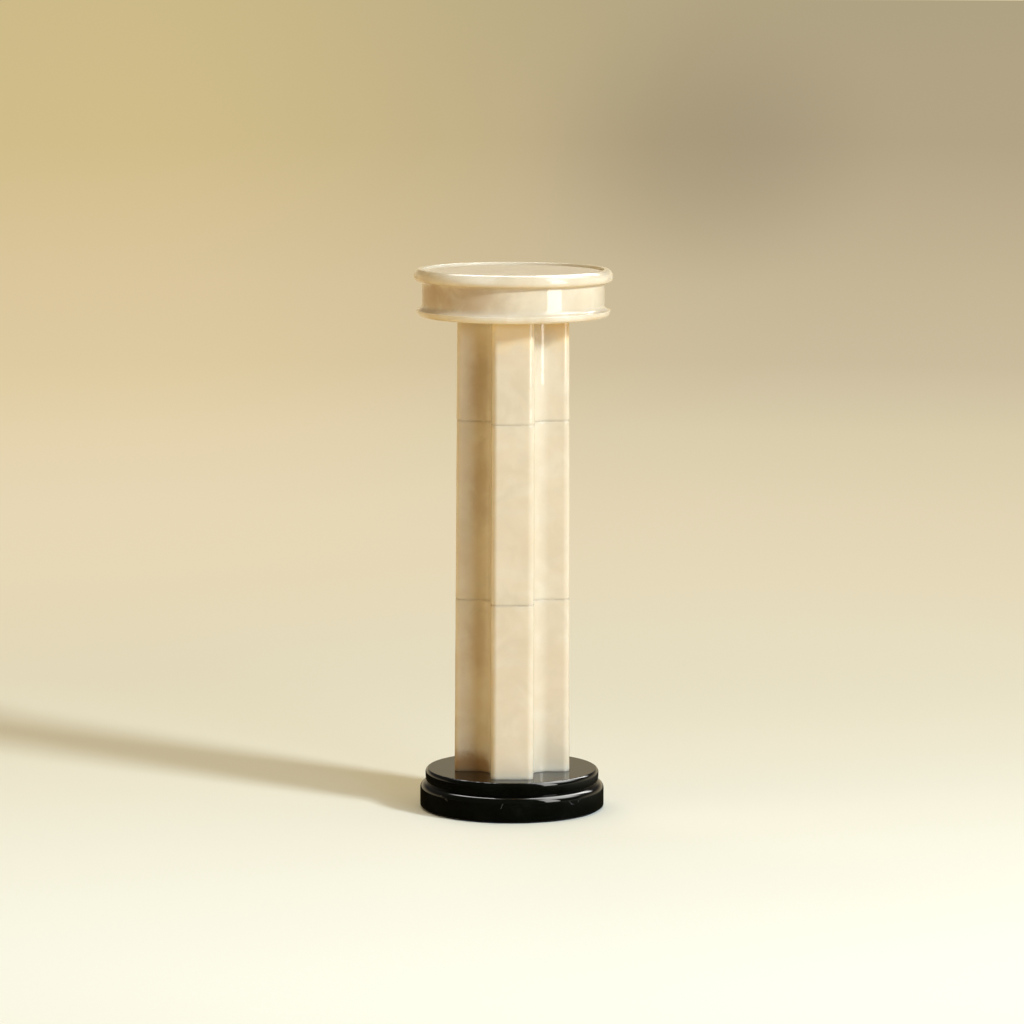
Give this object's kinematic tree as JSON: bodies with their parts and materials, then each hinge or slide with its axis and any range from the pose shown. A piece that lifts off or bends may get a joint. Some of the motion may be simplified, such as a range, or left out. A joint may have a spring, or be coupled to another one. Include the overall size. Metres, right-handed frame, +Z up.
{
  "type": "column trophy",
  "caption": "Stone column trophy: cross-shaped cream onyx shaft of stacked drums, turned onyx capital with a shallow recess, and a two-tier round black marble base.",
  "frame": {"origin": "middle of the underside of the felt, on the surface that the trophy stands on", "axes": "+Z up the axis of the column; +X along the short arms of the cross-shaped shaft, +Y along its long arms"},
  "size_m": [0.1098, 0.1098, 0.3],
  "materials": {
    "onyx": "polished",
    "inlay_stone": "satin",
    "black_marble": "polished",
    "zinc_steel": "satin",
    "fibre": "matte",
    "felt": "matte"
  },
  "bodies": {
    "root": {"felt_pad": "felt", "base_lower_disc": "black_marble", "base_upper_disc": "black_marble", "shaft_drum_bottom": "onyx", "shaft_drum_middle": "onyx", "shaft_drum_top": "onyx", "capital": "onyx", "capital_inlay_disc": "inlay_stone", "tie_rod": "zinc_steel", "top_nut": "zinc_steel", "top_washer": "zinc_steel", "top_fibre_washer": "fibre", "bottom_nut": "zinc_steel", "bottom_spring_washer": "zinc_steel", "bottom_washer": "zinc_steel", "bottom_fibre_washer": "fibre", "alignment_dowels": "zinc_steel"}
  },
  "joints": []
}
